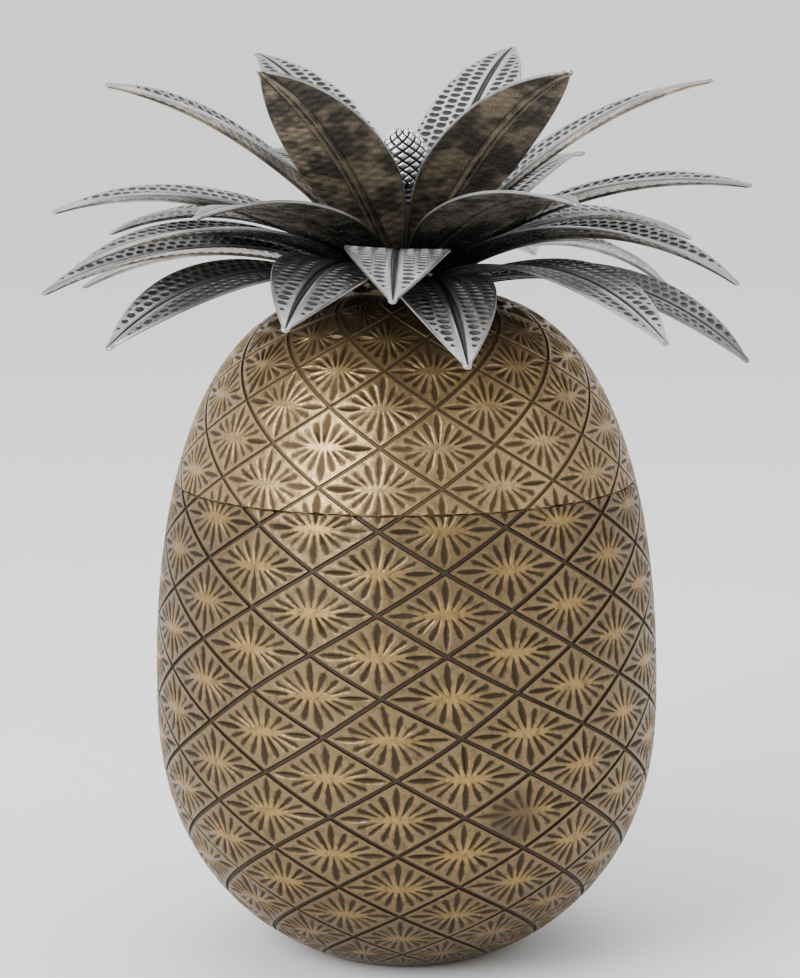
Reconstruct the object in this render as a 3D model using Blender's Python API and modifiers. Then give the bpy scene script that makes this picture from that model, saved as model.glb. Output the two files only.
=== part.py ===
"""Pineapple ice bucket in cast metal: a carved bucket and lid, a crown of bent leaves and a finial."""

import math
from collections import namedtuple

import bmesh
import bpy
from mathutils import Vector

COLLECTION_NAME = "pineapple_ice_bucket"
TOUCH_GAP = 0.0003
MERGE_DISTANCE = 0.00001
SMOOTH_ANGLE = math.radians(25)

# Body outline: two half ovals that meet at the widest height
BODY_RADIUS = 0.1006
WIDEST_Z = 0.106
UPPER_HEIGHT = 0.1603
UPPER_RISE_POWER = 2.2
UPPER_ROUND_POWER = 3.1
LOWER_HEIGHT = 0.114
LOWER_FALL_POWER = 2.4
LOWER_ROUND_POWER = 1.9
PROFILE_STEPS = 60
RIM_SEARCH = 0.001

# Bucket and lid
SEAM_Z = 0.191
WALL = 0.004
FLOOR_CORNER_Z = 0.006
CEILING_EDGE_Z = 0.2648
BUCKET_WALL_POINTS = 7
LID_WALL_POINTS = 5
SPIGOT_DEPTH = 0.007
SPIGOT_WALL = 0.003
SPIGOT_CLEARANCE = 0.0006
CAVITY_SIDES = 20

# Carved net: crossing grooves that part the skin into lozenges
LOZENGES_ROUND = 12
LOZENGE_POINTS = 8
NET_ROW_STEP = 0.01563
NET_ANCHOR_Z = 0.2005
NET_ROWS_ABOVE = 6
NET_ROWS_BELOW = 13
HEEL_Z = 0.0045
NET_TURN_LOW = math.radians(-2.4)
NET_TURN_HIGH = math.radians(-6.3)
NET_TURN_FROM_Z = 0.095
NET_TURN_TO_Z = 0.135
GROOVE_WIDTH = 0.0026
GROOVE_DEPTH = 0.0009

# Crown stem on the lid: one step for each tier of leaves, which start flush against it
Tier = namedtuple("Tier", "root_radius root_z root_width root_power bend_power")
TIERS = {
    "lowest": Tier(0.0200, 0.2669, 0.0085, 2.0, 1.0),
    "lower": Tier(0.0170, 0.2686, 0.0080, 2.0, 1.0),
    "middle": Tier(0.0136, 0.2708, 0.0080, 2.0, 1.1),
    "upper": Tier(0.0102, 0.2730, 0.0075, 1.8, 1.4),
    "inner": Tier(0.0068, 0.2755, 0.0055, 1.4, 2.0),
}
STEM_TOP_Z = 0.2775

# Leaves: azimuth 0 is the front, + turns right, the fold lifts the edges; degrees, lengths in millimetres
Leaf = namedtuple("Leaf", "azimuth rise tip_angle twist sweep length fold")
LEAVES = {
    "inner": (
        Leaf(-25, 46, 23, -24, -8, 129, 6),
        Leaf(30, 44, 13, 15, -2, 143, 6),
        Leaf(99, 42, 9, 4, -3, 139, 12),
        Leaf(153, 47, 10, -2, 9, 146, 4),
        Leaf(-151, 48, 11, 3, 5, 140, 4),
        Leaf(-82, 45, 10, 8, 5, 133, 12),
    ),
    "upper": (
        Leaf(-36, 29, -10, -7, 11, 140, 4),
        Leaf(27, 31, -9, 8, -4, 142, 3),
        Leaf(82, 32, -9, -2, -5, 134, 12),
        Leaf(146, 30, -3, 9, 2, 140, 4),
        Leaf(-153, 40, -17, 6, -2, 141, 4),
        Leaf(-91, 31, -18, 3, 8, 134, 12),
    ),
    "middle": (
        Leaf(-2, 26, -25, 5, 1, 135, 2),
        Leaf(66, 31, -34, 1, 2, 131, 12),
        Leaf(117, 32, -25, -2, -14, 118, 12),
        Leaf(180, 30, -25, 0, 0, 132, 4),
        Leaf(-118, 33, -23, 2, 12, 123, 12),
        Leaf(-69, 32, -27, 0, 2, 126, 8),
    ),
    "lower": (
        Leaf(-20, 26, -30, 15, 7, 132, 3),
        Leaf(46, 22, -34, 2, -13, 135, 5),
        Leaf(125, 29, -39, -12, -12, 117, 12),
        Leaf(-160, 25, -34, 0, 0, 132, 4),
        Leaf(-84, 25, -26, 2, 18, 131, 12),
    ),
    "lowest": (
        Leaf(10, 21, -35, 1, -3, 132, 3),
        Leaf(82, 17, -44, -11, -14, 126, 6),
        Leaf(157, 20, -20, 0, 0, 130, 4),
        Leaf(-115, 23, -28, 6, 7, 127, 12),
        Leaf(-55, 24, -40, 13, 0, 122, 5),
    ),
}
LEAF_WIDTH = 0.0395
LEAF_WIDEST_AT = 0.42
LEAF_TIP_POWER = 2.2
LEAF_TIP_WIDTH = 0.0018
LEAF_THICKNESS = 0.0013
LEAF_STEPS = 7
SPINE_STEPS = 56

# Finial: a small net-cut pineapple on a ringed neck
FINIAL_RADIUS = 0.0099
FINIAL_WIDEST_Z = 0.3185
FINIAL_TOP_Z = 0.3305
FINIAL_WAIST_Z = 0.3065
NECK_RADIUS = 0.0036
NECK_RING = 0.0006
NECK_RINGS = 3
NECK_RING_STEP = 0.0022
FINIAL_LOZENGES = 7
FINIAL_ROWS = 8
FINIAL_CROWN = 0.0007
FINIAL_CAP_DEPTH = 0.0006


def clear_scene():
    for item in list(bpy.data.objects):
        bpy.data.objects.remove(item, do_unlink=True)


def new_collection(name):
    collection = bpy.data.collections.new(name)
    bpy.context.scene.collection.children.link(collection)
    return collection


def new_material(name, color, roughness, metallic):
    material = bpy.data.materials.new(name)
    material.use_nodes = True
    shader = material.node_tree.nodes["Principled BSDF"]
    shader.inputs["Base Color"].default_value = (*color, 1.0)
    shader.inputs["Roughness"].default_value = roughness
    shader.inputs["Metallic"].default_value = metallic
    return material


def new_object(name, bm, collection, material=None):
    mesh = bpy.data.meshes.new(name)
    bmesh.ops.recalc_face_normals(bm, faces=bm.faces)
    bm.to_mesh(mesh)
    bm.free()
    item = bpy.data.objects.new(name, mesh)
    collection.objects.link(item)
    if material is not None:
        mesh.materials.append(material)
        mesh.shade_smooth()
        mesh.set_sharp_from_angle(angle=SMOOTH_ANGLE)
    return item


def smoothstep(low, high, value):
    t = min(max((value - low) / (high - low), 0.0), 1.0)
    return t * t * (3.0 - 2.0 * t)


# Body profile
def body_radius(z):
    if z >= WIDEST_Z:
        rise = min((z - WIDEST_Z) / UPPER_HEIGHT, 1.0)
        return BODY_RADIUS * (1.0 - rise ** UPPER_RISE_POWER) ** (1.0 / UPPER_ROUND_POWER)
    fall = min((WIDEST_Z - z) / LOWER_HEIGHT, 1.0)
    return BODY_RADIUS * (1.0 - fall ** LOWER_FALL_POWER) ** (1.0 / LOWER_ROUND_POWER)


def body_normal(z):
    reach = 0.0002
    slope = (body_radius(z + reach) - body_radius(z - reach)) / (2.0 * reach)
    length = math.hypot(1.0, slope)
    return 1.0 / length, -slope / length


def body_top_z(radius):
    """Height of the dome at a radius near its top."""
    rise = (1.0 - (radius / BODY_RADIUS) ** UPPER_ROUND_POWER) ** (1.0 / UPPER_RISE_POWER)
    return WIDEST_Z + UPPER_HEIGHT * rise


def walk_body(z, distance):
    """Height reached from z by going a distance along the profile, up for + and down for -."""
    for _ in range(PROFILE_STEPS):
        z += body_normal(z)[0] * distance / PROFILE_STEPS
    return z


def profile_length(low_z, high_z):
    rise = (high_z - low_z) / PROFILE_STEPS
    heights = [low_z + rise * (i + 0.5) for i in range(PROFILE_STEPS)]
    return sum(rise / body_normal(z)[0] for z in heights)


def net_turn(z):
    share = smoothstep(NET_TURN_FROM_Z, NET_TURN_TO_Z, z)
    return NET_TURN_LOW + (NET_TURN_HIGH - NET_TURN_LOW) * share


def net_row_height(row):
    """Rows count up from the lowest one; the anchor row is NET_ROWS_BELOW."""
    return walk_body(NET_ANCHOR_Z, (row - NET_ROWS_BELOW) * NET_ROW_STEP)


def turned_point(angle, radius, z):
    return Vector((radius * math.sin(angle), -radius * math.cos(angle), z))


def set_depth(vert, depth):
    """Moves a vertex near the body to a depth under the uncarved surface, - being proud of it."""
    radius = math.hypot(vert.co.x, vert.co.y)
    out, up = body_normal(vert.co.z)
    wanted = body_radius(vert.co.z) - depth / out
    vert.co.x *= wanted / radius
    vert.co.y *= wanted / radius


def lozenge_net(bm, columns, rows, place):
    """A tube of lozenges: a grid split along its crossing diagonals and freed of its square edges."""
    half = 1.0
    bmesh.ops.create_grid(bm, x_segments=columns, y_segments=rows, size=half)
    crossing = bm.verts.layers.int.new("crossing")
    for vert in bm.verts:
        column = round((vert.co.x + half) / (2.0 * half) * columns)
        row = round((vert.co.y + half) / (2.0 * half) * rows)
        vert[crossing] = 1 - (column + row) % 2
        vert.co = place(column, row)
    bmesh.ops.remove_doubles(bm, verts=bm.verts, dist=MERGE_DISTANCE)
    for face in list(bm.faces):
        ends = [vert for vert in face.verts if vert[crossing]]
        bmesh.utils.face_split(face, ends[0], ends[1])
    inner = [vert for vert in bm.verts if not vert[crossing] and not vert.is_boundary]
    bmesh.ops.dissolve_verts(bm, verts=inner)
    spokes = [edge for edge in bm.edges if not edge.is_boundary
              and sum(vert[crossing] for vert in edge.verts) == 1]
    bmesh.ops.dissolve_edges(bm, edges=spokes)


def place_body_net(column, row):
    z = net_row_height(row)
    angle = math.pi * column / LOZENGES_ROUND + net_turn(z)
    return turned_point(angle, body_radius(z), z)


def carved_skin():
    """The body's outer skin: each lozenge a pad inside a V groove."""
    bm = bmesh.new()
    lozenge_net(bm, 2 * LOZENGES_ROUND, NET_ROWS_ABOVE + NET_ROWS_BELOW, place_body_net)
    net_lines = [edge for edge in bm.edges if not edge.is_boundary]
    bmesh.ops.subdivide_edges(bm, edges=net_lines, cuts=1)
    for vert in bm.verts:
        set_depth(vert, 0.0)
    groove_floor = list(bm.verts)
    pads = list(bm.faces)
    bmesh.ops.inset_individual(bm, faces=pads, thickness=GROOVE_WIDTH / 2.0, use_even_offset=True)
    for vert in bm.verts:
        set_depth(vert, 0.0)
    for pad in [pad for pad in pads if len(pad.verts) == LOZENGE_POINTS]:
        upright = sorted(pad.verts, key=lambda vert: vert.co.z)
        bmesh.utils.face_split(pad, upright[0], upright[-1])
    for vert in groove_floor:
        set_depth(vert, GROOVE_DEPTH)
    return bm


def carry_rim(bm, loop, radius, z):
    """Extrudes an open rim to a new radius and height and returns the new rim."""
    made = bmesh.ops.extrude_edge_only(bm, edges=loop)["geom"]
    for vert in made:
        if isinstance(vert, bmesh.types.BMVert):
            flat = Vector((vert.co.x, vert.co.y, 0.0)).normalized()
            vert.co = flat * radius + Vector((0.0, 0.0, z))
    return [edge for edge in made if isinstance(edge, bmesh.types.BMEdge) and edge.is_boundary]


def rim_near(bm, z, reach):
    return [edge for edge in bm.edges if edge.is_boundary
            and all(abs(vert.co.z - z) < reach for vert in edge.verts)]


def cut_skin(bm, z, keep_below):
    """Keeps the skin on one side of a level plane and returns the cut rim."""
    geometry = list(bm.verts) + list(bm.edges) + list(bm.faces)
    bmesh.ops.bisect_plane(bm, geom=geometry, plane_co=(0.0, 0.0, z), plane_no=(0.0, 0.0, 1.0),
                           clear_outer=keep_below, clear_inner=not keep_below)
    return rim_near(bm, z, MERGE_DISTANCE)


def turned_cutter(name, profile, collection):
    """A closed solid of revolution from a profile that runs top to bottom on the outer side."""
    mesh = bpy.data.meshes.new(name)
    points = [(radius, 0.0, z) for radius, z in profile]
    mesh.from_pydata(points, [(i, i + 1) for i in range(len(points) - 1)], [])
    item = bpy.data.objects.new(name, mesh)
    collection.objects.link(item)
    screw = item.modifiers.new("turn", "SCREW")
    screw.steps = CAVITY_SIDES
    screw.render_steps = CAVITY_SIDES
    screw.use_merge_vertices = True
    screw.merge_threshold = MERGE_DISTANCE
    item.display_type = "WIRE"
    item.hide_render = True
    return item


def add_boolean(item, other, operation):
    cut = item.modifiers.new(other.name, "BOOLEAN")
    cut.operation = operation
    cut.object = other
    cut.solver = "EXACT"


def inner_wall(low_z, high_z, count):
    """Even steps down the body's outline, moved in by the wall."""
    length = profile_length(low_z, high_z)
    points = []
    for i in range(count):
        z = walk_body(high_z, -length * i / (count - 1))
        out, up = body_normal(z)
        points.append((body_radius(z) - WALL * out, z - WALL * up))
    return points


def make_bucket(collection, cutters):
    bm = carved_skin()
    rim = cut_skin(bm, SEAM_Z - TOUCH_GAP / 2.0, True)
    bmesh.ops.edgeloop_fill(bm, edges=rim)
    foot = rim_near(bm, net_row_height(0), RIM_SEARCH)
    for z in (HEEL_Z, 0.0):
        foot = carry_rim(bm, foot, body_radius(z), z)
    bmesh.ops.edgeloop_fill(bm, edges=foot)
    bucket = new_object("bucket", bm, collection,
                        new_material("bucket", (0.36, 0.27, 0.16), 0.42, 0.9))
    wall = inner_wall(FLOOR_CORNER_Z, SEAM_Z, BUCKET_WALL_POINTS)
    mouth = wall[0][0]
    profile = [(0.0, SEAM_Z + WALL), (mouth, SEAM_Z + WALL)] + wall
    profile += [(body_radius(0.0), WALL), (0.0, WALL)]
    add_boolean(bucket, turned_cutter("bucket_cavity", profile, cutters), "DIFFERENCE")
    return mouth


def make_lid(collection, cutters, mouth):
    bm = carved_skin()
    rim = cut_skin(bm, SEAM_Z + TOUCH_GAP / 2.0, False)
    bmesh.ops.edgeloop_fill(bm, edges=rim)
    edge = rim_near(bm, net_row_height(NET_ROWS_ABOVE + NET_ROWS_BELOW), RIM_SEARCH)
    tiers = list(TIERS.values())
    base_z = body_top_z(tiers[0].root_radius)
    tops = [(low.root_z + high.root_z) / 2.0 for low, high in zip(tiers, tiers[1:])] + [STEM_TOP_Z]
    for tier, top in zip(tiers, tops):
        edge = carry_rim(bm, edge, tier.root_radius - TOUCH_GAP, base_z)
        edge = carry_rim(bm, edge, tier.root_radius - TOUCH_GAP, top)
        base_z = top
    bmesh.ops.edgeloop_fill(bm, edges=edge)
    lid = new_object("lid", bm, collection,
                     new_material("lid", (0.45, 0.34, 0.20), 0.40, 0.9))
    spigot_radius = mouth - SPIGOT_CLEARANCE
    spigot = [(0.0, SEAM_Z + WALL), (spigot_radius, SEAM_Z + WALL),
              (spigot_radius, SEAM_Z - SPIGOT_DEPTH), (0.0, SEAM_Z - SPIGOT_DEPTH)]
    add_boolean(lid, turned_cutter("lid_spigot", spigot, cutters), "UNION")
    ceiling = inner_wall(SEAM_Z + TOUCH_GAP, CEILING_EDGE_Z, LID_WALL_POINTS)
    cavity = [(0.0, ceiling[0][1])] + ceiling
    bore = spigot_radius - SPIGOT_WALL
    cavity[-1] = (bore, cavity[-1][1])
    cavity += [(bore, SEAM_Z - SPIGOT_DEPTH - WALL), (0.0, SEAM_Z - SPIGOT_DEPTH - WALL)]
    add_boolean(lid, turned_cutter("lid_cavity", cavity, cutters), "DIFFERENCE")


# Leaves
def leaf_width(tier, t):
    root = tier.root_width / LEAF_WIDTH
    if t < LEAF_WIDEST_AT:
        share = 1.0 - (1.0 - root) * ((LEAF_WIDEST_AT - t) / LEAF_WIDEST_AT) ** tier.root_power
    else:
        share = 1.0 - ((t - LEAF_WIDEST_AT) / (1.0 - LEAF_WIDEST_AT)) ** LEAF_TIP_POWER
    return max(LEAF_WIDTH * share, LEAF_TIP_WIDTH)


def leaf_frames(tier, leaf):
    """Point, side and upward direction at even steps along the leaf's bent spine."""
    azimuth = math.radians(leaf.azimuth)
    start = tier.root_radius + LEAF_THICKNESS / 2.0 * math.sin(math.radians(leaf.rise))
    point = Vector((math.sin(azimuth), -math.cos(azimuth), 0.0)) * start
    point.z = tier.root_z
    step = leaf.length / 1000.0 / SPINE_STEPS
    frames = []
    for i in range(SPINE_STEPS + 1):
        t = i / SPINE_STEPS
        climb = math.radians(leaf.rise + (leaf.tip_angle - leaf.rise) * t ** tier.bend_power)
        heading = azimuth + math.radians(leaf.sweep) * t
        outward = Vector((math.sin(heading), -math.cos(heading), 0.0))
        tangent = outward * math.cos(climb) + Vector((0.0, 0.0, math.sin(climb)))
        level = Vector((-math.cos(heading), -math.sin(heading), 0.0))
        raised = level.cross(tangent)
        roll = math.radians(leaf.twist) * t
        side = level * math.cos(roll) + raised * math.sin(roll)
        up = raised * math.cos(roll) - level * math.sin(roll)
        frames.append((point.copy(), side, up))
        point += tangent * step
    return frames


def make_leaf(name, tier, leaf, collection, material):
    bm = bmesh.new()
    bmesh.ops.create_grid(bm, x_segments=2, y_segments=LEAF_STEPS, size=1.0)
    frames = leaf_frames(tier, leaf)
    fold = math.radians(leaf.fold)
    for vert in bm.verts:
        across = round(vert.co.x)
        t = (vert.co.y + 1.0) / 2.0
        point, side, up = frames[round(t * SPINE_STEPS)]
        reach = leaf_width(tier, t) / 2.0
        lift = abs(across) * reach * math.sin(fold)
        vert.co = point + side * (across * reach * math.cos(fold)) + up * lift
    item = new_object(name, bm, collection, material)
    shell = item.modifiers.new("thickness", "SOLIDIFY")
    shell.thickness = LEAF_THICKNESS
    shell.offset = 0.0
    shell.use_even_offset = True


def make_crown(collection):
    for tier_name, leaves in LEAVES.items():
        tier = TIERS[tier_name]
        for number, leaf in enumerate(leaves, 1):
            name = f"leaf_{tier_name}_{number}"
            material = new_material(name, (0.42, 0.42, 0.43), 0.35, 0.95)
            make_leaf(name, tier, leaf, collection, material)


# Finial
def finial_radius(z):
    if z >= FINIAL_WIDEST_Z:
        rise = (z - FINIAL_WIDEST_Z) / (FINIAL_TOP_Z - FINIAL_WIDEST_Z)
        return FINIAL_RADIUS * math.sqrt(max(1.0 - rise ** 2, 0.0))
    fall = (FINIAL_WIDEST_Z - z) / (FINIAL_WIDEST_Z - FINIAL_WAIST_Z)
    return NECK_RADIUS + (FINIAL_RADIUS - NECK_RADIUS) * math.sqrt(max(1.0 - fall ** 2, 0.0))


def place_finial_net(column, row):
    share = row / FINIAL_ROWS
    height = FINIAL_TOP_Z - FINIAL_CAP_DEPTH - FINIAL_WAIST_Z
    z = FINIAL_WAIST_Z + height * (1.0 - math.cos(math.pi * share)) / 2.0
    return turned_point(math.pi * column / FINIAL_LOZENGES, finial_radius(z), z)


def make_finial(collection):
    bm = bmesh.new()
    lozenge_net(bm, 2 * FINIAL_LOZENGES, FINIAL_ROWS, place_finial_net)
    whole = [face for face in bm.faces if len(face.verts) == 4
             and not any(edge.is_boundary for edge in face.edges)]
    for vert in bmesh.ops.poke(bm, faces=whole)["verts"]:
        flat = Vector((vert.co.x, vert.co.y, 0.0))
        vert.co += flat.normalized() * FINIAL_CROWN
    top = [edge for edge in bm.edges if edge.is_boundary and edge.verts[0].co.z > FINIAL_WIDEST_Z]
    bmesh.ops.edgeloop_fill(bm, edges=top)
    edge = [edge for edge in bm.edges if edge.is_boundary]
    z = FINIAL_WAIST_Z
    for ring in range(NECK_RINGS):
        z -= NECK_RING_STEP / 2.0
        edge = carry_rim(bm, edge, NECK_RADIUS + NECK_RING, z)
        z -= NECK_RING_STEP / 2.0
        edge = carry_rim(bm, edge, NECK_RADIUS, z)
    edge = carry_rim(bm, edge, NECK_RADIUS, STEM_TOP_Z + TOUCH_GAP)
    bmesh.ops.edgeloop_fill(bm, edges=edge)
    new_object("finial", bm, collection,
               new_material("finial", (0.55, 0.55, 0.56), 0.3, 0.95))


def main():
    clear_scene()
    collection = new_collection(COLLECTION_NAME)
    cutters = new_collection("cutters")
    mouth = make_bucket(collection, cutters)
    make_lid(collection, cutters, mouth)
    make_crown(collection)
    make_finial(collection)


if __name__ == "__main__":
    main()
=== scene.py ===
"""Looks of the pineapple ice bucket: petal-cut skin, hammered leaves, net-cut finial and studio."""

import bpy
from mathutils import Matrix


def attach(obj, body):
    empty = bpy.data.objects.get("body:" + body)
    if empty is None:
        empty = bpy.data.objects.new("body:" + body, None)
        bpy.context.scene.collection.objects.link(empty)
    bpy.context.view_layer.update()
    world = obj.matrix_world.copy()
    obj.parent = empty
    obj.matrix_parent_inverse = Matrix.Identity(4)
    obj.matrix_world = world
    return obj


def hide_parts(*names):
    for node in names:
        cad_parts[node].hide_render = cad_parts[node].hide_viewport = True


bl_info = {
    "name": "Pineapple Ice Bucket",
    "version": (1, 0, 0),
    "blender": (4, 5, 0),
    "location": "3D View > Sidebar > Pineapple",
    "description": "Models the carved body, the leaves and the finial around the part's solids",
    "category": "Object",
}

import math
from collections import namedtuple

import bpy
import numpy as np
from bpy.props import FloatProperty, FloatVectorProperty, PointerProperty
from mathutils import Matrix, Vector
from mathutils.geometry import delaunay_2d_cdt

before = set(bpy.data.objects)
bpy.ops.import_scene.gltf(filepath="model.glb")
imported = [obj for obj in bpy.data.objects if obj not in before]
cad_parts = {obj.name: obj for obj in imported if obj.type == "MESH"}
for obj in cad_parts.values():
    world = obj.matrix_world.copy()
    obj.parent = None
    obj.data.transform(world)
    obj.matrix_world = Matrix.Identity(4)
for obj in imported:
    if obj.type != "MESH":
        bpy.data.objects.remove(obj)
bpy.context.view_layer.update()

# Body outline: two half ovals that meet at the widest height
BODY_RADIUS = 0.1006
WIDEST_Z = 0.106
UPPER_HEIGHT = 0.1603
UPPER_RISE_POWER = 2.2
UPPER_ROUND_POWER = 3.1
LOWER_HEIGHT = 0.114
LOWER_FALL_POWER = 2.4
LOWER_ROUND_POWER = 1.9

# Bucket and lid
SEAM_Z = 0.191
SEAM_GAP = 0.0003
SEAM_BEVEL = 0.0004
WALL = 0.004
HEEL_Z = 0.0045
SKIN_ABOVE_HEEL = 0.0009
FOOT_EDGE = 0.001
FOOT_EDGE_Z = 0.0008
FOOT_CENTRE = 0.020
BUCKET_WALL_LOW_Z = 0.006
BUCKET_WALL_STEPS = 18
FLOOR_EDGE_SHARE = 0.8
FLOOR_CENTRE = 0.012
LID_WALL_TOP_Z = 0.2648
LID_WALL_STEPS = 14
LID_DOME_CENTRE = 0.010
STEM_BASE_RISE = 0.0005
SPIGOT_DEPTH = 0.007
SPIGOT_WALL = 0.003
SPIGOT_CLEARANCE = 0.0006
TURNED_SIDES = 96
BODY_CREASE = math.radians(50)

# Net of grooves
LOZENGES_ROUND = 12
NET_ROW_STEP = 0.01563
NET_ANCHOR_Z = 0.2005
NET_ROWS_ABOVE = 6
NET_ROWS_BELOW = 13
PLAIN_ROWS = 0.45
LID_ROWS_PAST_NET = 0.03
GROOVE_CROWN_SHARE = 0.86
GROOVE_MIDDLE_DARKNESS = 0.85
NET_TURN_LOW = math.radians(-2.4)
NET_TURN_HIGH = math.radians(-6.3)
NET_TURN_FROM_Z = 0.095
NET_TURN_TO_Z = 0.135

# Marks of crisp lines: an edge is sharp where both of its ends have the same mark
CRISP_CUT = 1.0
CRISP_BROW = 2.0
CRISP_FLOOR = 3.0
CRISP_OUTLINE = 4.0
CRISP_RIB = 5.0

# Petals in one quarter of a lozenge, from its side corner to its top corner: inner ends as shares
# of the half width and half height, outer ends as such shares of the room inside the grooves, and
# a width against the set one
PETALS = (
    ((0.35, 0.00), (0.965, 0.00), 0.70),
    ((0.25, 0.055), (0.675, 0.30), 1.15),
    ((0.15, 0.055), (0.485, 0.49), 1.15),
    ((0.07, 0.055), (0.27, 0.71), 1.1),
    ((0.00, 0.055), (0.00, 0.985), 1.0),
)
# Places along a petal, and the most that half its width takes of the way to the next petal
PETAL_SHARES = (0.0, 0.12, 0.36, 0.62, 0.84, 1.0)
CROWDING_AT = (0.0, 0.36)
CROWDING = (0.34, 0.43)
PETAL_TIP_WIDTH = 0.00008
PETAL_MARGIN = 0.00025
PETAL_SKEW = 0.95
PETAL_ROUNDNESS = 0.5
NARROW_DEPTH_POWER = 0.4
# Random changes of a petal: shares of its inner end, outer end, width and depth, and a length
INNER_END_CHANGE = 0.03
OUTER_END_CHANGE = 0.008
WIDTH_CHANGE = 0.10
DEPTH_CHANGE = 0.12
TIP_SHIFT = 0.0001
# Places along a side of a lozenge that face the petals' tips, their edges and the ridges between
BORDER_SHARES = (0.0, 0.035, 0.155, 0.265, 0.30, 0.335, 0.40, 0.465,
                 0.5, 0.535, 0.60, 0.665, 0.70, 0.735, 0.845, 0.965)
FAN_CROWN = 0.0001
CUT_SEED = 7
STAIN_PLACE = (0.0404, -0.0895, 0.0748)
STAIN_REACH = (0.009, 0.019)
# Heights of the painted shade that darkens the bucket towards the bottom
LOW_PAINTED_SHADE_Z = (0.015, 0.085)
# Heights of the painted shade on the lid's top and stem under the leaves
TOP_PAINTED_SHADE_Z = (0.262, 0.276)

# Crown of leaves
# The reach is how far up a leaf its painted shade near the root goes, furthest on the low tiers under
# the others
Tier = namedtuple("Tier", "root_radius root_z root_width root_power bend_power soot_reach warmth")
TIERS = {
    "lowest": Tier(0.0200, 0.2669, 0.0085, 2.0, 1.0, 0.155, 0.0),
    "lower": Tier(0.0170, 0.2686, 0.0080, 2.0, 1.0, 0.140, 0.0),
    "middle": Tier(0.0136, 0.2708, 0.0080, 2.0, 1.1, 0.095, 0.1),
    "upper": Tier(0.0102, 0.2730, 0.0075, 1.8, 1.4, 0.085, 0.25),
    "inner": Tier(0.0068, 0.2755, 0.0055, 1.4, 2.0, 0.070, 1.0),
}
STEM_TOP_Z = 0.2775
Leaf = namedtuple("Leaf", "azimuth rise tip_angle twist sweep length fold")
LEAVES = {
    "inner": (
        Leaf(-25, 46, 23, -24, -8, 129, 6),
        Leaf(30, 44, 13, 15, -2, 143, 6),
        Leaf(99, 42, 9, 4, -3, 139, 12),
        Leaf(153, 47, 10, -2, 9, 146, 4),
        Leaf(-151, 48, 11, 3, 5, 140, 4),
        Leaf(-82, 45, 10, 8, 5, 133, 12),
    ),
    "upper": (
        Leaf(-36, 29, -10, -7, 11, 140, 4),
        Leaf(27, 31, -9, 8, -4, 142, 3),
        Leaf(82, 32, -9, -2, -5, 134, 12),
        Leaf(146, 30, -3, 9, 2, 140, 4),
        Leaf(-153, 40, -17, 6, -2, 141, 4),
        Leaf(-91, 31, -18, 3, 8, 134, 12),
    ),
    "middle": (
        Leaf(-2, 26, -25, 5, 1, 135, 2),
        Leaf(66, 31, -34, 1, 2, 131, 12),
        Leaf(117, 32, -25, -2, -14, 118, 12),
        Leaf(180, 30, -25, 0, 0, 132, 4),
        Leaf(-118, 33, -23, 2, 12, 123, 12),
        Leaf(-69, 32, -27, 0, 2, 126, 8),
    ),
    "lower": (
        Leaf(-20, 26, -30, 15, 7, 132, 3),
        Leaf(46, 22, -34, 2, -13, 135, 5),
        Leaf(125, 29, -39, -12, -12, 117, 12),
        Leaf(-160, 25, -34, 0, 0, 132, 4),
        Leaf(-84, 25, -26, 2, 18, 131, 12),
    ),
    "lowest": (
        Leaf(10, 21, -35, 1, -3, 132, 3),
        Leaf(82, 17, -44, -11, -14, 126, 6),
        Leaf(157, 20, -20, 0, 0, 130, 4),
        Leaf(-115, 23, -28, 6, 7, 127, 12),
        Leaf(-55, 24, -40, 13, 0, 122, 5),
    ),
}
LEAF_WIDTH = 0.0395
LEAF_WIDEST_AT = 0.42
LEAF_TIP_POWER = 2.2
LEAF_TIP_WIDTH = 0.0034
LEAF_CAP_FROM = 0.985
LEAF_CAP_ROUNDNESS = 0.94
LEAF_THICKNESS = 0.0013
SPINE_STEPS = 56
OUTLINE_STEPS = 56
EDGE_ROUND = 0.00028
FINE_CREASE = math.radians(40)
# Midrib on top and ridge underneath: half width, height over the leaf's face and darkness. The
# midrib's darkness is patina in its channel; the ridge's is painted shade in its valley and at its
# feet, and below 0 a painted highlight where the crest is lighter than the face
MIDRIB = (
    (0.0, -0.0002, 0.4),
    (0.0005, -0.00055, 1.0),
    (0.0010, -0.0005, 1.0),
    (0.0014, 0.0002, 0.0),
    (0.0021, 0.0, 0.0),
)
RIDGE = (
    (0.0, 0.0002, 0.9),
    (0.0005, 0.0005, 0.0),
    (0.0011, 0.0009, -1.0),
    (0.0017, 0.0006, -0.2),
    (0.0027, 0.0, 1.0),
)
RIB_STEPS = 36
RIB_ROOT_ROOM = 0.0006
RIB_TIP_ROOM = 0.0012
RIB_SIDE_ROOM = 0.00012
RIB_TAPER = 0.030
RIB_TAPER_POWER = 0.6
# Rings of a dimple and of its bulge underneath: sides, size, share of the depth and darkness
DIMPLE_RINGS = ((14, 1.0, 0.0, 0.15), (10, 0.76, 0.72, 0.8), (1, 0.0, 1.0, 1.0))
BULGE_RINGS = ((14, 1.0, 0.0, 0.0), (10, 0.6, 0.7, 0.0), (1, 0.0, 1.0, 0.0))
DIMPLE_COLUMN_STEP = 0.0049
DIMPLE_ROW_STEP = 0.0040
DIMPLE_FIRST_SHARE = 0.52
DIMPLE_LEAST = 0.0005
DIMPLE_RIB_ROOM = 0.0001
DIMPLE_END_ROOM = 0.005
# Random changes of a dimple: lengths across and along, then shares of its width and length
DIMPLE_SHIFT_ACROSS = 0.0001
DIMPLE_SHIFT_ALONG = 0.00015
DIMPLE_WIDTH_CHANGE = 0.06
DIMPLE_LENGTH_CHANGE = 0.10
LEAF_RIM = 0.0004
LEAF_SEED = 11

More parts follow.
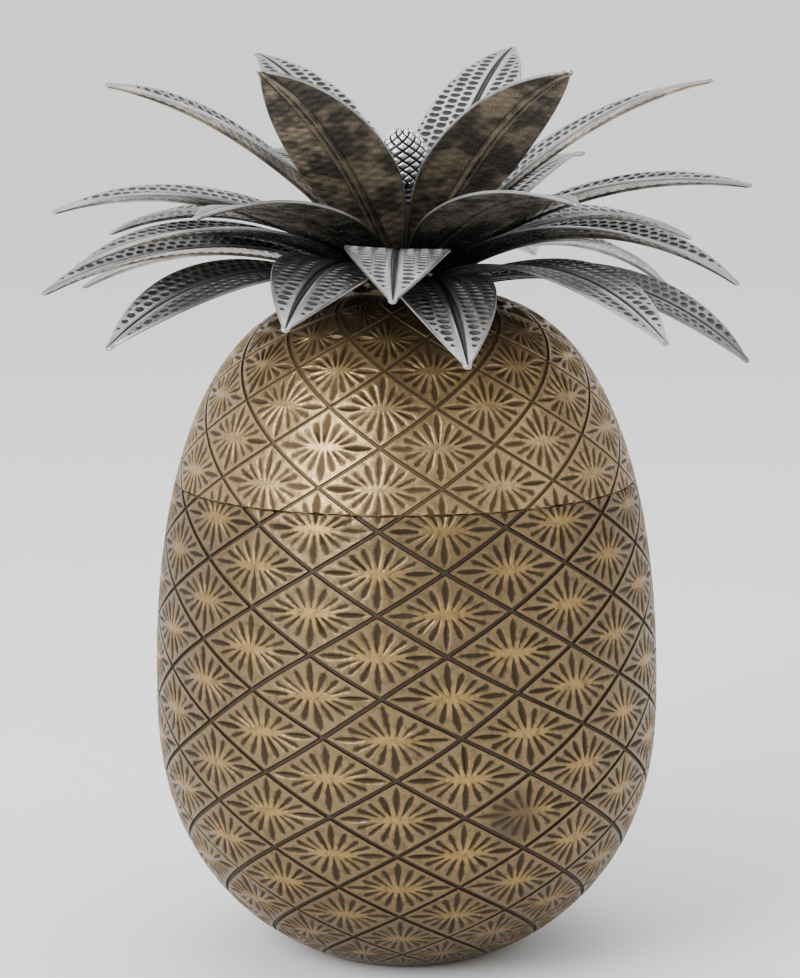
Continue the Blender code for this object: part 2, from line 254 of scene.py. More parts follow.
# Finial
FINIAL_RADIUS = 0.0099
FINIAL_WIDEST_Z = 0.3185
FINIAL_TOP_Z = 0.3305
FINIAL_WAIST_Z = 0.3065
FINIAL_RISE_POWER = 1.8
FINIAL_ROUND_POWER = 0.6
NECK_RADIUS = 0.0036
NECK_RING = 0.0006
NECK_RINGS = 3
NECK_RING_STEP = 0.0022
# Points of one ring: shares of the ring's step downwards and of its height
NECK_RING_POINTS = ((0.25, 0.8), (0.5, 1.0), (0.75, 0.8), (1.0, 0.0))
# Darkness of the neck as a share of a cut's: patina, and painted shade between the finial and the
# leaves
NECK_DARKNESS = 0.6
FINIAL_LOZENGES = 11
FINIAL_ROWS = 13
FINIAL_NET_HEIGHT = FINIAL_TOP_Z - 0.0003 - FINIAL_WAIST_Z
FINIAL_NET_LOW_Z = FINIAL_WAIST_Z + 0.0016
FINIAL_NET_TOP_Z = FINIAL_TOP_Z - 0.0009
FINIAL_CAP_Z = FINIAL_NET_TOP_Z + 0.0002
FINIAL_CAP_INSET = 0.0003
FINIAL_CAP_TOP = (0.0012, FINIAL_TOP_Z - 0.0001)
# A raised lozenge: depth of its centre, then size, depth and crisp mark of each ring
FINIAL_CENTRE_DEPTH = -0.0004
FINIAL_CUT_DEPTH = 0.0005
FINIAL_RINGS = (
    (0.35, -0.00035, 0.0),
    (0.6, -0.00022, 0.0),
    (0.72, 0.0, CRISP_BROW),
    (0.86, FINIAL_CUT_DEPTH, 0.0),
    (1.0, FINIAL_CUT_DEPTH, 0.0),
)
FINIAL_BORDER_SHARES = (0.0, 0.25, 0.5, 0.75)
FINIAL_PLAIN_ROWS = 0.6

# Photograph's camera
CAMERA_DISTANCE = 1.2341
CAMERA_AIM_Z = 0.18607
CAMERA_ELEVATION = math.radians(9.4214)
CAMERA_ROLL = math.radians(0.4384)
CAMERA_LENS = 113.57
CAMERA_SENSOR = 36.0
CAMERA_SHIFT_X = -0.005414

# Studio: size and place of each softbox, and the way to the brightest surroundings
SOFTBOXES = (
    ("softbox_left", "key_power", (0.9, 1.1), (-1.1, -1.2, 1.1)),
    ("softbox_right", "fill_power", (0.9, 1.2), (1.5, -0.7, 0.8)),
    ("softbox_top", "top_power", (1.4, 1.4), (0.0, 0.3, 1.8)),
)
SOFTBOX_AIM = (0.0, 0.0, 0.18)
BRIGHTEST_WAY = (-0.45, 0.35, 0.60)
BRIGHTEST_AT = 0.8
FLOOR_RADIUS = 60.0

# Distances below which points are one point, or an open edge lies at a height
MERGE_DISTANCE = 0.00002
RIM_SLACK = 0.0001
NET_FADE_FROM = 0.1


def smoothstep(low, high, value):
    t = np.clip((value - low) / (high - low), 0.0, 1.0)
    return t * t * (3.0 - 2.0 * t)


# Body outline as a table from net row to height, radius and outward normal
def body_radius(z):
    z = np.asarray(z, float)
    rise = np.clip((z - WIDEST_Z) / UPPER_HEIGHT, 0.0, 1.0)
    fall = np.clip((WIDEST_Z - z) / LOWER_HEIGHT, 0.0, 1.0)
    upper = (1.0 - rise ** UPPER_RISE_POWER) ** (1.0 / UPPER_ROUND_POWER)
    lower = (1.0 - fall ** LOWER_FALL_POWER) ** (1.0 / LOWER_ROUND_POWER)
    return BODY_RADIUS * upper * lower


def body_table():
    low, high = WIDEST_Z - LOWER_HEIGHT, WIDEST_Z + UPPER_HEIGHT
    z = low + (high - low) * (1.0 - np.cos(np.linspace(0.0, math.pi, 4000))) / 2.0
    radius = body_radius(z)
    length = np.concatenate([[0.0], np.cumsum(np.hypot(np.diff(z), np.diff(radius)))])
    row = NET_ROWS_BELOW + (length - np.interp(NET_ANCHOR_Z, z, length)) / NET_ROW_STEP
    out = np.gradient(z, length)
    up = -np.gradient(radius, length)
    return row, z, radius, out, up


BODY_ROW, BODY_Z, BODY_R, BODY_OUT, BODY_UP = body_table()


def net_turn(z):
    share = smoothstep(NET_TURN_FROM_Z, NET_TURN_TO_Z, z)
    return NET_TURN_LOW + (NET_TURN_HIGH - NET_TURN_LOW) * share


def turned_point(angle, radius, z):
    return np.stack([radius * np.sin(angle), -radius * np.cos(angle), z], -1)


def body_point(column, row, depth):
    """Points at places in the net, sunk by a depth along the body's normal."""
    z = np.interp(row, BODY_ROW, BODY_Z)
    radius = np.interp(row, BODY_ROW, BODY_R)
    out = np.interp(row, BODY_ROW, BODY_OUT)
    up = np.interp(row, BODY_ROW, BODY_UP)
    angle = math.pi * column / LOZENGES_ROUND + net_turn(z)
    return turned_point(angle, radius - depth * out, z - depth * up)


# Mesh helpers
def new_piece(name, points, faces, attributes):
    mesh = bpy.data.meshes.new(name)
    mesh.from_pydata(points.tolist(), [], faces)
    for label, values in attributes.items():
        layer = mesh.attributes.new(label, "FLOAT", "POINT")
        layer.data.foreach_set("value", np.asarray(values, np.float32).ravel())
    piece = bpy.data.objects.new(name, mesh)
    bpy.context.scene.collection.objects.link(piece)
    return piece


def only(*pieces):
    bpy.ops.object.select_all(action="DESELECT")
    for piece in pieces:
        piece.select_set(True)
    bpy.context.view_layer.objects.active = pieces[0]


def edit(piece, mode):
    only(piece)
    bpy.ops.object.mode_set(mode="EDIT")
    bpy.ops.mesh.select_mode(type=mode)


def leave_edit():
    bpy.ops.object.mode_set(mode="OBJECT")


def weld(piece):
    edit(piece, "VERT")
    bpy.ops.mesh.select_all(action="SELECT")
    bpy.ops.mesh.remove_doubles(threshold=MERGE_DISTANCE)
    leave_edit()


def cut_level(piece, z, keep_below):
    edit(piece, "VERT")
    bpy.ops.mesh.select_all(action="SELECT")
    bpy.ops.mesh.bisect(plane_co=(0.0, 0.0, z), plane_no=(0.0, 0.0, 1.0),
                        clear_outer=keep_below, clear_inner=not keep_below, threshold=0.000001)
    leave_edit()


def turn_profile(name, profile, close_end):
    """A turned sheet: a ring drawn out and resized from point to point of a profile."""
    (radius, z), rest = profile[0], profile[1:]
    bpy.ops.object.select_all(action="DESELECT")
    bpy.ops.mesh.primitive_circle_add(vertices=TURNED_SIDES, radius=radius, location=(0.0, 0.0, z))
    piece = bpy.context.object
    piece.name = name
    bpy.ops.object.transform_apply(location=True, rotation=True, scale=True)
    bpy.ops.object.mode_set(mode="EDIT")
    bpy.ops.mesh.select_mode(type="EDGE")
    for next_radius, next_z in rest:
        bpy.ops.mesh.extrude_edges_move(TRANSFORM_OT_translate={"value": (0.0, 0.0, next_z - z)})
        share = next_radius / radius
        bpy.ops.transform.resize(value=(share, share, 1.0), center_override=(0.0, 0.0, next_z))
        radius, z = next_radius, next_z
    if close_end:
        bpy.ops.mesh.edge_face_add()
    leave_edit()
    return piece


def piece_points(mesh):
    points = np.zeros(len(mesh.vertices) * 3)
    mesh.vertices.foreach_get("co", points)
    return points.reshape(-1, 3)


def rim_edges(mesh, low, high):
    """Marks the open edges from one height to another."""
    count = np.zeros(len(mesh.edges), int)
    loops = np.zeros(len(mesh.loops), int)
    mesh.loops.foreach_get("edge_index", loops)
    np.add.at(count, loops, 1)
    points = piece_points(mesh)
    ends = np.zeros(len(mesh.edges) * 2, int)
    mesh.edges.foreach_get("vertices", ends)
    heights = points[ends.reshape(-1, 2), 2]
    return (count == 1) & (heights.min(1) > low - RIM_SLACK) & (heights.max(1) < high + RIM_SLACK)


def bridge_rims(piece, low, high):
    """Joins the open rims at two heights."""
    edit(piece, "EDGE")
    bpy.ops.mesh.select_all(action="DESELECT")
    leave_edit()
    piece.data.edges.foreach_set("select", rim_edges(piece.data, low, high))
    bpy.ops.object.mode_set(mode="EDIT")
    bpy.ops.mesh.bridge_edge_loops()
    leave_edit()


def join(first, *others):
    only(first, *others)
    bpy.ops.object.join()


def face_outward(piece):
    edit(piece, "FACE")
    bpy.ops.mesh.select_all(action="SELECT")
    bpy.ops.mesh.normals_make_consistent(inside=False)
    leave_edit()


def shade_with_crisp_lines(piece, angle):
    """Smooth shading that breaks at sharp angles and along crisp lines."""
    mesh = piece.data
    only(piece)
    bpy.ops.object.shade_smooth_by_angle(angle=angle)
    crisp = np.zeros(len(mesh.vertices), np.float32)
    mesh.attributes["crisp"].data.foreach_get("value", crisp)
    ends = np.zeros(len(mesh.edges) * 2, int)
    mesh.edges.foreach_get("vertices", ends)
    kinds = crisp[ends.reshape(-1, 2)]
    marked = (kinds[:, 0] > 0.5) & (np.abs(kinds[:, 0] - kinds[:, 1]) < 0.1)
    layer = mesh.attributes.get("sharp_edge") or mesh.attributes.new("sharp_edge", "BOOLEAN", "EDGE")
    sharp = np.zeros(len(mesh.edges), bool)
    layer.data.foreach_get("value", sharp)
    layer.data.foreach_set("value", sharp | marked)


def dress(piece, node, slot, *materials):
    for material in materials:
        piece.data.materials.append(material)
    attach(piece, "root")
    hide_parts(node)


# Carved net
def net_cells(lozenges, low_row, high_row):
    """Column and row of each lozenge of a net, counted in half lozenges."""
    return np.array([(column, row) for row in range(low_row, high_row + 1)
                     for column in range(2 * lozenges) if (column + row) % 2], float)


def net_faces(cells, rings, spokes):
    """Faces of many round patches: each has its centre, then rings of as many points as spokes."""
    faces = []
    for first in range(0, cells * (1 + rings * spokes), 1 + rings * spokes):
        for i in range(spokes):
            j = (i + 1) % spokes
            faces.append((first, first + 1 + i, first + 1 + j))
            for ring in range(rings - 1):
                low = first + 1 + ring * spokes
                faces.append((low + i, low + spokes + i, low + spokes + j, low + j))
    return faces


def edge_places(shares):
    """Places round a lozenge from its right corner, at the given shares of each of its sides."""
    corners = np.array([(1, 0), (0, 1), (-1, 0), (0, -1), (1, 0)], float)
    share = np.array(shares)[:, None]
    return np.concatenate([corners[i] * (1.0 - share) + corners[i + 1] * share for i in range(4)])


def petal_table():
    """Inner ends, outer ends and widths of the petals all round a lozenge."""
    quarter = list(PETALS[:4])
    back = list(PETALS[:0:-1])
    flips = ((quarter, 1, 1), (back, -1, 1), (quarter, -1, -1), (back, 1, -1))
    rows = [(inner[0] * fx, inner[1] * fy, outer[0] * fx, outer[1] * fy, width)
            for petals, fx, fy in flips for inner, outer, width in petals]
    table = np.array(rows)
    return table[:, 0:2], table[:, 2:4], table[:, 4]


def petal_rings(size, room, places, settings, rng):
    """Petal cuts of many lozenges, inside the grooves: points in metres, depths and crisp marks."""
    inner, outer, width = petal_table()
    cells, petals = len(size), len(inner)

    def vary(amount):
        return 1.0 + amount * rng.standard_normal((cells, petals, 1))

    start = inner * size[:, None, :] * vary(INNER_END_CHANGE)
    end = outer * size[:, None, :] * room[:, None, None] * vary(OUTER_END_CHANGE)
    axis = end - start
    length = np.linalg.norm(axis, axis=-1, keepdims=True)
    aside = np.stack([axis[..., 1], -axis[..., 0]], -1) / length
    end = end + aside * TIP_SHIFT * rng.standard_normal((cells, petals, 1))
    axis = end - start
    shares = np.array(PETAL_SHARES)
    centre = start[:, :, None] + axis[:, :, None] * shares[:, None]

    def gap(step):
        """Distance from each petal's middle line to the petal beside it."""
        first = np.roll(start, step, 1)[:, :, None]
        line = np.roll(axis, step, 1)[:, :, None]
        away = centre - first
        along = (away * line).sum(-1, keepdims=True) / (line ** 2).sum(-1, keepdims=True)
        return np.linalg.norm(away - line * np.clip(along, 0.0, 1.0), axis=-1)

    limit = np.minimum(gap(1), gap(-1)) * np.interp(shares, CROWDING_AT, CROWDING)
    lens = np.sin(math.pi * shares ** PETAL_SKEW) ** PETAL_ROUNDNESS
    wanted = settings.petal_width / 2.0 * width[:, None] * vary(WIDTH_CHANGE) * lens
    half = np.clip(wanted, np.minimum(PETAL_TIP_WIDTH, limit), limit)
    narrowed = np.minimum(1.0, half / np.maximum(wanted, 1e-6)) ** NARROW_DEPTH_POWER
    sunk = settings.petal_depth * vary(DEPTH_CHANGE) * lens * narrowed
    before = centre + aside[:, :, None] * half[..., None]
    after = centre - aside[:, :, None] * half[..., None]
    fan = (after + np.roll(before, -1, 1)) / 2.0
    fan[:, :, -1] = places[3::4] * size[:, None, :] * room[:, None, None]
    points = np.stack([before, centre, after, fan], 2).reshape(cells, petals * 4, len(shares), 2)
    crown = -FAN_CROWN * lens * np.ones((cells, petals, 1))
    zero = np.zeros_like(sunk)
    depth = np.stack([zero, sunk, zero, crown], 2).reshape(cells, petals * 4, len(shares))
    crisp = np.tile([CRISP_CUT, 0.0, CRISP_CUT, 0.0], petals)[:, None] * np.ones(len(shares))
    return points, depth, np.broadcast_to(crisp, depth.shape)


def lozenge_rows(values):
    """One row of values for each lozenge: its centre, then ring after ring."""
    cells, spokes, rings = values.shape[:3]
    moved = np.moveaxis(values, 2, 1).reshape(cells, spokes * rings, *values.shape[3:])
    return np.concatenate([np.zeros_like(moved[:, :1]), moved], 1)


def carved_skin(name, low_row, high_row, plain_row, settings):
    """The petal-cut skin from one row of lozenges to another, plain near a row of its own."""
    rng = np.random.default_rng(CUT_SEED + low_row)
    cells = net_cells(LOZENGES_ROUND, low_row, high_row)
    radius = np.interp(cells[:, 1], BODY_ROW, BODY_R)
    size = np.stack([radius * math.pi / LOZENGES_ROUND, np.full(len(cells), NET_ROW_STEP)], -1)
    reach = size[:, 0] * size[:, 1] / np.hypot(size[:, 0], size[:, 1])
    floor = settings.groove_width / 2.0
    brow = floor + settings.groove_wall
    room = 1.0 - (brow + PETAL_MARGIN) / reach
    places = np.roll(edge_places(BORDER_SHARES), 1, axis=0)
    inside, sunk, crisp = petal_rings(size, room, places, settings, rng)
    carve = np.clip(sunk / settings.petal_depth, 0.0, 1.0)
    # Rings of the groove: distance from the lozenge's edge, depth, crisp mark and darkness
    rings = (
        (brow, 0.0, CRISP_BROW, 0.0),
        (floor, settings.groove_depth, CRISP_FLOOR, 1.0),
        (floor / 2.0, settings.groove_depth * GROOVE_CROWN_SHARE, 0.0, 1.0),
        (0.0, settings.groove_depth, 0.0, GROOVE_MIDDLE_DARKNESS),
    )
    stacks = [[inside], [sunk], [crisp], [carve], [np.zeros_like(carve)]]
    for from_edge, depth, mark, dark in rings:
        share = 1.0 - from_edge / reach
        ring = places * size[:, None, :] * share[:, None, None]
        stacks[0].append(ring[:, :, None])
        for stack, value in zip(stacks[1:], (depth, mark, dark, dark)):
            stack.append(np.full(ring.shape[:2] + (1,), value))
    flat, depth, crisp, carve, groove = (lozenge_rows(np.concatenate(stack, 2)) for stack in stacks)
    flat /= size[:, None, :]
    row = cells[:, None, 1] + flat[..., 1]
    depth *= smoothstep(NET_FADE_FROM, PLAIN_ROWS, np.abs(row - plain_row))
    points = body_point(cells[:, None, 0] + flat[..., 0], row, depth)
    faces = net_faces(len(cells), len(PETAL_SHARES) + len(rings), len(places))
    piece = new_piece(name, points.reshape(-1, 3), faces, {
        "carve": carve,
        "groove": groove,
        "hub": 1.0 - np.abs(flat).sum(-1),
        "crisp": crisp,
    })
    weld(piece)
    return piece


def wall_profile(high_z, low_z, count):
    """The body's outline between two heights, moved in by the wall."""
    rows = np.interp([high_z, low_z], BODY_Z, BODY_ROW)
    row = np.linspace(rows[0], rows[1], count)
    z = np.interp(row, BODY_ROW, BODY_Z) - WALL * np.interp(row, BODY_ROW, BODY_UP)
    radius = np.interp(row, BODY_ROW, BODY_R) - WALL * np.interp(row, BODY_ROW, BODY_OUT)
    return list(zip(radius.tolist(), z.tolist()))


def mouth_radius():
    return wall_profile(SEAM_Z, SEAM_Z, 1)[0][0]


def edge_radius(z, inset):
    return float(body_radius(z)) - inset


def model_bucket(settings):
    foot_z = HEEL_Z + SKIN_ABOVE_HEEL
    foot_row = float(np.interp(foot_z, BODY_Z, BODY_ROW))
    skin = carved_skin("pineapple_bucket", -1, NET_ROWS_BELOW, foot_row, settings)
    rim_z = SEAM_Z - SEAM_GAP / 2.0
    cut_level(skin, rim_z - SEAM_BEVEL, True)
    cut_level(skin, foot_z, False)
    inner = [(edge_radius(rim_z, SEAM_BEVEL), rim_z), (mouth_radius(), rim_z)]
    inner += wall_profile(SEAM_Z, BUCKET_WALL_LOW_Z, BUCKET_WALL_STEPS)[1:]
    inner += [(edge_radius(0.0, 0.0) * FLOOR_EDGE_SHARE, WALL), (FLOOR_CENTRE, WALL)]
    inside = turn_profile("bucket_inside", inner, True)
    heel = [(edge_radius(z, 0.0), z) for z in (HEEL_Z, HEEL_Z / 2.0, FOOT_EDGE_Z)]
    heel += [(edge_radius(0.0, FOOT_EDGE), 0.0), (FOOT_CENTRE, 0.0)]
    foot = turn_profile("bucket_foot", heel, True)
    join(skin, inside, foot)
    bridge_rims(skin, rim_z - SEAM_BEVEL, rim_z)
    bridge_rims(skin, HEEL_Z, foot_z)
    return skin


def stem_profile(base_z):
    """Steps of the stem under the leaves, one for each tier."""
    tiers = list(TIERS.values())
    tops = [(low.root_z + high.root_z) / 2.0 for low, high in zip(tiers, tiers[1:])] + [STEM_TOP_Z]
    steps = []
    for tier, top in zip(tiers, tops):
        radius = tier.root_radius - SEAM_GAP
        steps += [(radius, base_z), (radius, top)]
        base_z = top
    return steps


def model_lid(settings):
    top_row = NET_ROWS_BELOW + NET_ROWS_ABOVE + LID_ROWS_PAST_NET
    skin = carved_skin("pineapple_lid", NET_ROWS_BELOW - 1, NET_ROWS_BELOW + NET_ROWS_ABOVE,
                       top_row, settings)
    rim_z = SEAM_Z + SEAM_GAP / 2.0
    cut_level(skin, rim_z + SEAM_BEVEL, False)
    top_z = float(np.interp(top_row, BODY_ROW, BODY_Z))
    cut_level(skin, top_z, True)
    spigot = mouth_radius() - SPIGOT_CLEARANCE
    bore = spigot - SPIGOT_WALL
    low_z = SEAM_Z - SPIGOT_DEPTH
    inner = [(edge_radius(rim_z, SEAM_BEVEL), rim_z), (spigot, rim_z), (spigot, low_z), (bore, low_z)]
    inner += [(min(radius, bore), z)
              for radius, z in wall_profile(SEAM_Z, LID_WALL_TOP_Z, LID_WALL_STEPS)]
    inner += [(LID_DOME_CENTRE, inner[-1][1])]
    inside = turn_profile("lid_inside", inner, True)
    base_z = top_z + STEM_BASE_RISE
    stem = turn_profile("lid_stem", stem_profile(base_z), True)
    join(skin, inside, stem)
    bridge_rims(skin, rim_z, rim_z + SEAM_BEVEL)
    bridge_rims(skin, top_z, base_z)
    return skin


# Leaves
def leaf_half_width(tier, t):
    root = tier.root_width / LEAF_WIDTH
    low = np.clip((LEAF_WIDEST_AT - t) / LEAF_WIDEST_AT, 0.0, 1.0)
    high = np.clip((t - LEAF_WIDEST_AT) / (1.0 - LEAF_WIDEST_AT), 0.0, 1.0)
    share = 1.0 - (1.0 - root) * low ** tier.root_power - high ** LEAF_TIP_POWER
    cap = np.clip((t - LEAF_CAP_FROM) / (1.0 - LEAF_CAP_FROM), 0.0, 1.0)
    rounding = np.sqrt(1.0 - LEAF_CAP_ROUNDNESS * cap ** 2)
    return np.maximum(LEAF_WIDTH * share, LEAF_TIP_WIDTH) / 2.0 * rounding


def leaf_frames(tier, leaf):
    """Points, side and upward directions along the leaf's bent spine."""
    t = np.linspace(0.0, 1.0, SPINE_STEPS + 1)
    azimuth = math.radians(leaf.azimuth)
    climb = np.radians(leaf.rise + (leaf.tip_angle - leaf.rise) * t ** tier.bend_power)
    heading = azimuth + math.radians(leaf.sweep) * t
    outward = np.stack([np.sin(heading), -np.cos(heading), 0.0 * t], -1)
    level = np.stack([-np.cos(heading), -np.sin(heading), 0.0 * t], -1)
    tangent = outward * np.cos(climb)[:, None]
    tangent[:, 2] = np.sin(climb)
    raised = np.cross(level, tangent)
    roll = (math.radians(leaf.twist) * t)[:, None]
    side = level * np.cos(roll) + raised * np.sin(roll)
    up = raised * np.cos(roll) - level * np.sin(roll)
    start = tier.root_radius + LEAF_THICKNESS / 2.0 * math.sin(math.radians(leaf.rise))
    steps = tangent[:-1] * (leaf.length / 1000.0 / SPINE_STEPS)
    origin = np.array([math.sin(azimuth) * start, -math.cos(azimuth) * start, tier.root_z])
    return origin + np.concatenate([np.zeros((1, 3)), np.cumsum(steps, 0)]), side, up


def bend_leaf(tier, leaf, flat, height):
    """Wraps flat leaf points, and heights over the middle sheet, round the bent spine."""
    spots = np.linspace(0.0, leaf.length / 1000.0, SPINE_STEPS + 1)

    def at(values):
        return np.stack([np.interp(flat[:, 1], spots, values[:, k]) for k in range(3)], -1)

    spine, side, up = (at(values) for values in leaf_frames(tier, leaf))
    fold = math.radians(leaf.fold)
    across = flat[:, 0:1] * math.cos(fold)
    lift = np.abs(flat[:, 0:1]) * math.sin(fold) + height[:, None]
    return spine + side * across + up * lift


class Sheet:
    """Flat points with heights and marks, and the lines that their triangles keep."""

    def __init__(self):
        self.flat, self.height, self.dimple, self.crisp, self.lines = [], [], [], [], []

    def add(self, points, height, dimple, crisp):
        first = len(self.flat)
        self.flat += [tuple(map(float, point)) for point in points]
        for values, value in ((self.height, height), (self.dimple, dimple), (self.crisp, crisp)):
            values += np.broadcast_to(value, len(points)).astype(float).tolist()
        return list(range(first, len(self.flat)))

    def path(self, points, height, dimple, crisp, closed):
        spots = self.add(points, height, dimple, crisp)
        self.lines += list(zip(spots, spots[1:]))
        if closed:
            self.lines.append((spots[-1], spots[0]))

    def triangles(self):
        """Triangles in the order of the points given, inside the outline."""
        made = delaunay_2d_cdt([Vector(point) for point in self.flat], self.lines, [], 1, 1e-7)
        if len(made[0]) != len(self.flat):
            raise RuntimeError("the lines of a leaf cross each other")
        source = [origins[0] for origins in made[3]]
        return [tuple(source[i] for i in face) for face in made[2]]


def leaf_outline(tier, length, inset):
    """The outline as a closed path from the root up the left side and down the right."""
    t = (1.0 - np.cos(np.linspace(0.0, math.pi, OUTLINE_STEPS))) / 2.0
    half = leaf_half_width(tier, t) - inset
    along = inset + (length - 2.0 * inset) * t
    left = np.stack([-half, along], -1)
    return np.concatenate([left, np.stack([half, along], -1)[::-1]])


def add_rib(sheet, tier, length, inset, profile, base, sign):
    """Lines of a midrib or ridge that narrow towards the tip and the root."""
    along = np.linspace(2.0 * inset + RIB_ROOT_ROOM, length - 2.0 * inset - RIB_TIP_ROOM, RIB_STEPS)
    room = leaf_half_width(tier, along / length) - inset - RIB_SIDE_ROOM
    taper = np.clip((length - along) / RIB_TAPER, 0.0, 1.0) ** RIB_TAPER_POWER
    scale = np.minimum(taper, room / profile[-1][0])
    for half, height, dark in profile:
        lift = base + sign * height * np.sqrt(scale)
        crisp = CRISP_RIB if half == profile[-1][0] else 0.0
        for mirror in ((1.0,) if half == 0.0 else (-1.0, 1.0)):
            points = np.stack([mirror * half * scale, along], -1)
            sheet.path(points, lift, dark, crisp, False)


def dimple_places(tier, length, settings, rng):
    """Middle, half sizes and share of the full size of each dimple, in staggered columns."""
    inner = RIDGE[-1][0] + DIMPLE_RIB_ROOM
    columns = int(LEAF_WIDTH / 2.0 / DIMPLE_COLUMN_STEP) + 1
    rows = int(length / DIMPLE_ROW_STEP)
    places = []
    for side in (-1.0, 1.0):
        for column in range(columns):
            for row in range(rows + 1):
                middle = inner + settings.dimple_width * DIMPLE_FIRST_SHARE
                middle += column * DIMPLE_COLUMN_STEP
                middle += DIMPLE_SHIFT_ACROSS * rng.uniform(-1.0, 1.0)
                along = (row + 0.5 * (column % 2)) * DIMPLE_ROW_STEP
                along += DIMPLE_SHIFT_ALONG * rng.uniform(-1.0, 1.0)
                reach = settings.dimple_width / 2.0
                reach *= 1.0 + DIMPLE_WIDTH_CHANGE * rng.uniform(-1.0, 1.0)
                span = settings.dimple_length / 2.0
                span *= 1.0 + DIMPLE_LENGTH_CHANGE * rng.uniform(-1.0, 1.0)
                if not DIMPLE_END_ROOM < along < length - DIMPLE_END_ROOM:
                    continue
                ends = np.array([along - span, along, along + span]) / length
                edge = float(leaf_half_width(tier, ends).min()) - LEAF_RIM
                low, high = max(middle - reach, inner), min(middle + reach, edge)
                if high - low < 2.0 * DIMPLE_LEAST:
                    continue
                share = (high - low) / 2.0 / reach
                places.append((side * (low + high) / 2.0, along, (high - low) / 2.0,
                               span * max(share, 0.5), 0.4 + 0.6 * share))
    return places


def add_dimples(sheet, places, base, rings, depth, crisp):
    """Rings of each dimple, sunk below a height of the sheet."""
    for across, along, reach, span, share in places:
        for sides, size, sunk, dark in rings:
            turn = np.arange(sides) * 2.0 * math.pi / sides
            ring = np.stack([across + reach * size * np.cos(turn),
                             along + span * size * np.sin(turn)], -1)
            if size == 1.0:
                sheet.path(ring, base, dark, crisp, True)
            else:
                sheet.add(ring, base - depth * sunk * share, dark, 0.0)


def leaf_face(tier, leaf, places, base, sign, rib, rings, depth, crisp):
    """The top or the underside of a leaf: its outline, rib and dimples."""
    sheet = Sheet()
    sheet.path(leaf_outline(tier, leaf.length / 1000.0, EDGE_ROUND), base, 0.0, CRISP_OUTLINE, True)
    add_rib(sheet, tier, leaf.length / 1000.0, EDGE_ROUND, rib, base, sign)
    add_dimples(sheet, places, base, rings, depth, crisp)
    return sheet


def model_leaf(name, tier, leaf, settings, rng):
    length = leaf.length / 1000.0
    half = LEAF_THICKNESS / 2.0
    places = dimple_places(tier, length, settings, rng)
    top = leaf_face(tier, leaf, places, half, 1.0, MIDRIB, DIMPLE_RINGS,
                    settings.dimple_depth, CRISP_CUT)
    under = leaf_face(tier, leaf, places, -half, -1.0, RIDGE, BULGE_RINGS,
                      settings.bulge_height, 0.0)
    wall = leaf_outline(tier, length, 0.0)
    ring = len(wall)
    flat = np.array(top.flat + under.flat + 2 * wall.tolist())
    height = np.array(top.height + under.height + ring * [half - EDGE_ROUND]
                      + ring * [EDGE_ROUND - half])
    first_under = len(top.flat)
    upper = first_under + len(under.flat)
    lower = upper + ring
    faces = top.triangles()
    tops = len(faces)
    faces += [tuple(first_under + i for i in face)[::-1] for face in under.triangles()]
    unders = len(faces)
    for a, b in ((0, upper), (upper, lower), (lower, first_under)):
        for i in range(ring):
            j = (i + 1) % ring
            faces.append((a + i, a + j, b + j, b + i))
    zeros = np.zeros(2 * ring)
    # Under a leaf the dimple attribute holds the ridge's painted shade and painted highlight; on top,
    # the patina of the dimples and the midrib
    piece = new_piece(name, bend_leaf(tier, leaf, flat, height), faces, {
        "dimple": np.concatenate([top.dimple, under.dimple, zeros]),
        "crisp": np.concatenate([top.crisp, under.crisp, zeros]),
        # Painted shade near the root, fading along the leaf
        "soot": 1.0 - flat[:, 1] / tier.soot_reach,
        "warmth": np.full(len(flat), tier.warmth),
    })
    surface = np.zeros(len(faces), int)
    surface[tops:unders] = 1
    piece.data.polygons.foreach_set("material_index", surface)
    return piece


# Finial
def finial_radius(z):
    rise = np.clip((z - FINIAL_WIDEST_Z) / (FINIAL_TOP_Z - FINIAL_WIDEST_Z), 0.0, 1.0)
    fall = np.clip((FINIAL_WIDEST_Z - z) / (FINIAL_WIDEST_Z - FINIAL_WAIST_Z), 0.0, 1.0)
    lower = NECK_RADIUS + (FINIAL_RADIUS - NECK_RADIUS) * np.sqrt(1.0 - fall ** 2)
    upper = FINIAL_RADIUS * (1.0 - rise ** FINIAL_RISE_POWER) ** FINIAL_ROUND_POWER
    return np.where(z >= FINIAL_WIDEST_Z, upper, lower)


def finial_point(column, row, depth):
    share = np.clip(row / FINIAL_ROWS, 0.0, 1.0)
    z = FINIAL_WAIST_Z + FINIAL_NET_HEIGHT * share
    radius = finial_radius(z)
    step = 0.00005
    slope = (finial_radius(z + step) - finial_radius(z - step)) / (2.0 * step)
    size = np.hypot(1.0, slope)
    angle = math.pi * column / FINIAL_LOZENGES
    return turned_point(angle, radius - depth / size, z + depth * slope / size)


def neck_profile():
    """The ringed neck from the net down to the stem."""
    profile = [(NECK_RADIUS, FINIAL_WAIST_Z)]
    z = FINIAL_WAIST_Z
    for _ in range(NECK_RINGS):
        profile += [(NECK_RADIUS + NECK_RING * height, z - NECK_RING_STEP * down)
                    for down, height in NECK_RING_POINTS]
        z -= NECK_RING_STEP
    return profile + [(NECK_RADIUS, STEM_TOP_Z + SEAM_GAP)]


